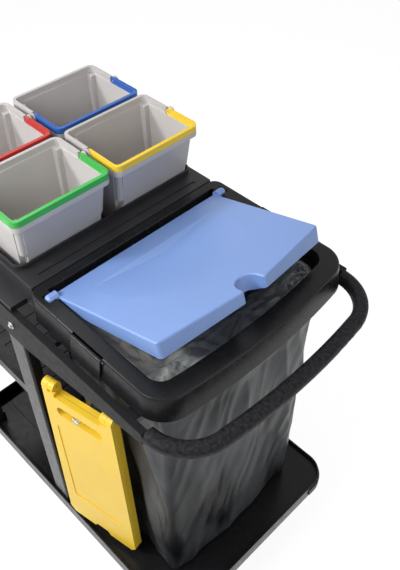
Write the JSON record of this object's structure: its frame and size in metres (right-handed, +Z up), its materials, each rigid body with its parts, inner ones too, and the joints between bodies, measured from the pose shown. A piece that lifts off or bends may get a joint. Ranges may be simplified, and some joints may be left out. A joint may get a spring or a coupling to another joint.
{
  "type": "janitor cart",
  "caption": "Cleaning cart on swivel castors with a lidded waste bag bay, push handle, colour-coded lift-out buckets on the deck, storage shelf and folded floor sign.",
  "frame": {"origin": "on the floor below the middle of the cart's bounding box", "axes": "+X along the cart towards the push handle, +Y across, +Z up"},
  "size_m": [0.9529, 0.6, 1.1334],
  "materials": {
    "black_plastic": "satin moulded polypropylene",
    "steel": "zinc plated",
    "wheel_grey": "moulded",
    "tyre_grey": "non-marking rubber",
    "bumper_rubber": "soft",
    "bag_film": "clear film",
    "lid_blue": "satin",
    "bucket_grey": "moulded",
    "bail_green": "moulded",
    "bail_yellow": "moulded",
    "bail_red": "moulded",
    "bail_blue": "moulded",
    "sign_yellow": "moulded"
  },
  "bodies": {
    "frame": {"base_platform": "black_plastic", "corner_bumpers": "bumper_rubber", "castor_mounts": "steel", "post_fl": "black_plastic", "post_fr": "black_plastic", "post_rl": "black_plastic", "post_rr": "black_plastic", "shelf": "black_plastic", "deck": "black_plastic", "arm_left": "black_plastic", "arm_right": "black_plastic", "arm_bolts": "steel", "push_handle": "black_plastic", "bag_holder": "black_plastic", "bag": "bag_film", "sign_peg": "steel"},
    "ring": {"bag_ring": "black_plastic", "lid_pins": "steel"},
    "lid": {"lid": "lid_blue"},
    "clip_left": {"clip_left": "black_plastic"},
    "clip_right": {"clip_right": "black_plastic"},
    "sign": {"sign_inner": "sign_yellow", "sign_pins": "steel"},
    "sign_leaf": {"sign_outer": "sign_yellow"},
    "bucket_green": {"bucket_green": "bucket_grey"},
    "bail_green": {"bail_green": "bail_green"},
    "bucket_yellow": {"bucket_yellow": "bucket_grey"},
    "bail_yellow": {"bail_yellow": "bail_yellow"},
    "bucket_red": {"bucket_red": "bucket_grey"},
    "bail_red": {"bail_red": "bail_red"},
    "bucket_blue": {"bucket_blue": "bucket_grey"},
    "bail_blue": {"bail_blue": "bail_blue"},
    "castor_fl": {"fork_fl": "black_plastic", "axle_fl": "steel"},
    "roller_fl": {"wheel_fl": "wheel_grey", "tyre_fl": "tyre_grey"},
    "castor_fr": {"fork_fr": "black_plastic", "axle_fr": "steel"},
    "roller_fr": {"wheel_fr": "wheel_grey", "tyre_fr": "tyre_grey"},
    "castor_rl": {"fork_rl": "black_plastic", "axle_rl": "steel"},
    "roller_rl": {"wheel_rl": "wheel_grey", "tyre_rl": "tyre_grey"},
    "castor_rr": {"fork_rr": "black_plastic", "axle_rr": "steel"},
    "roller_rr": {"wheel_rr": "wheel_grey", "tyre_rr": "tyre_grey"}
  },
  "joints": [
    {"name": "ring_lift", "type": "slide", "parent": "frame", "child": "ring", "axis": [0, 0, 1], "range_m": [0, 0.08]},
    {"name": "lid_hinge", "type": "hinge", "parent": "ring", "child": "lid", "pos_m": [0.0315, 0, 0.994], "axis": [0, -1, 0], "range_deg": [-10.7, 77.6]},
    {"name": "clip_left_hinge", "type": "hinge", "parent": "ring", "child": "clip_left", "pos_m": [0.175, -0.2605, 0.992], "axis": [-1, 0, 0], "range_deg": [0, 25]},
    {"name": "clip_right_hinge", "type": "hinge", "parent": "ring", "child": "clip_right", "pos_m": [0.175, 0.2605, 0.992], "axis": [1, 0, 0], "range_deg": [0, 25]},
    {"name": "bucket_green_lift", "type": "slide", "parent": "frame", "child": "bucket_green", "axis": [0, 0, 1], "range_m": [0, 0.25]},
    {"name": "bail_green_hinge", "type": "hinge", "parent": "bucket_green", "child": "bail_green", "pos_m": [-0.1425, -0.118, 1.1234], "axis": [0, -1, 0], "range_deg": [0, 95]},
    {"name": "bucket_yellow_lift", "type": "slide", "parent": "frame", "child": "bucket_yellow", "axis": [0, 0, 1], "range_m": [0, 0.25]},
    {"name": "bail_yellow_hinge", "type": "hinge", "parent": "bucket_yellow", "child": "bail_yellow", "pos_m": [-0.1425, 0.13, 1.1234], "axis": [0, -1, 0], "range_deg": [0, 95]},
    {"name": "bucket_red_lift", "type": "slide", "parent": "frame", "child": "bucket_red", "axis": [0, 0, 1], "range_m": [0, 0.25]},
    {"name": "bail_red_hinge", "type": "hinge", "parent": "bucket_red", "child": "bail_red", "pos_m": [-0.3385, -0.118, 1.1234], "axis": [0, -1, 0], "range_deg": [0, 95]},
    {"name": "bucket_blue_lift", "type": "slide", "parent": "frame", "child": "bucket_blue", "axis": [0, 0, 1], "range_m": [0, 0.25]},
    {"name": "bail_blue_hinge", "type": "hinge", "parent": "bucket_blue", "child": "bail_blue", "pos_m": [-0.3385, 0.13, 1.1234], "axis": [0, -1, 0], "range_deg": [0, 95]},
    {"name": "castor_fl_swivel", "type": "hinge", "parent": "frame", "child": "castor_fl", "pos_m": [0.3315, -0.204, 0.105], "axis": [0, 0, 1], "continuous": true},
    {"name": "roller_fl_spin", "type": "hinge", "parent": "castor_fl", "child": "roller_fl", "pos_m": [0.2995, -0.204, 0.05], "axis": [0, 1, 0], "continuous": true},
    {"name": "castor_fr_swivel", "type": "hinge", "parent": "frame", "child": "castor_fr", "pos_m": [0.3315, 0.204, 0.105], "axis": [0, 0, 1], "continuous": true},
    {"name": "roller_fr_spin", "type": "hinge", "parent": "castor_fr", "child": "roller_fr", "pos_m": [0.2995, 0.204, 0.05], "axis": [0, 1, 0], "continuous": true},
    {"name": "castor_rl_swivel", "type": "hinge", "parent": "frame", "child": "castor_rl", "pos_m": [-0.3805, -0.204, 0.105], "axis": [0, 0, 1], "continuous": true},
    {"name": "roller_rl_spin", "type": "hinge", "parent": "castor_rl", "child": "roller_rl", "pos_m": [-0.4125, -0.204, 0.05], "axis": [0, 1, 0], "continuous": true},
    {"name": "castor_rr_swivel", "type": "hinge", "parent": "frame", "child": "castor_rr", "pos_m": [-0.3805, 0.204, 0.105], "axis": [0, 0, 1], "continuous": true},
    {"name": "roller_rr_spin", "type": "hinge", "parent": "castor_rr", "child": "roller_rr", "pos_m": [-0.4125, 0.204, 0.05], "axis": [0, 1, 0], "continuous": true},
    {"name": "sign_slide", "type": "slide", "parent": "frame", "child": "sign", "axis": [0.1908, -0.9816, 0], "range_m": [0, 0.06]},
    {"name": "sign_leaf_hinge", "type": "hinge", "parent": "sign", "child": "sign_leaf", "pos_m": [0.1155, -0.266, 0.7731], "axis": [-0.9816, -0.1908, 0], "range_deg": [0, 35]}
  ]
}
